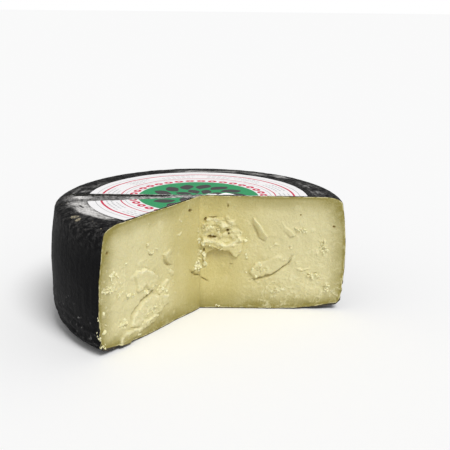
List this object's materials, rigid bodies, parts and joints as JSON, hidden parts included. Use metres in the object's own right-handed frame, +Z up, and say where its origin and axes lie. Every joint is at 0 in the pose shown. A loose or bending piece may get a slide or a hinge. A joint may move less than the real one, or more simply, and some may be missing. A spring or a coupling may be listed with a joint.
{
  "type": "pecorino cheese wheel, cut open",
  "caption": "Black-rinded sheep's milk cheese wheel with a round paper label, cut across and opened, with one slice left in place and rough pale cut faces.",
  "frame": {"origin": "middle of the part's underside, level with the surface that it rests on", "axes": "+X along the cut across the wheel, +Z up, and the missing sector opens towards -Y"},
  "size_m": [0.1999, 0.1831, 0.0821],
  "materials": {
    "cheese": "firm, crumbly cream paste in a thin matt black rind",
    "label": "printed matt paper, white with red rings and a green middle"
  },
  "bodies": {
    "root": {"cheese_half": "cheese", "cheese_slice": "cheese", "label_half": "label", "label_slice": "label"}
  },
  "joints": []
}
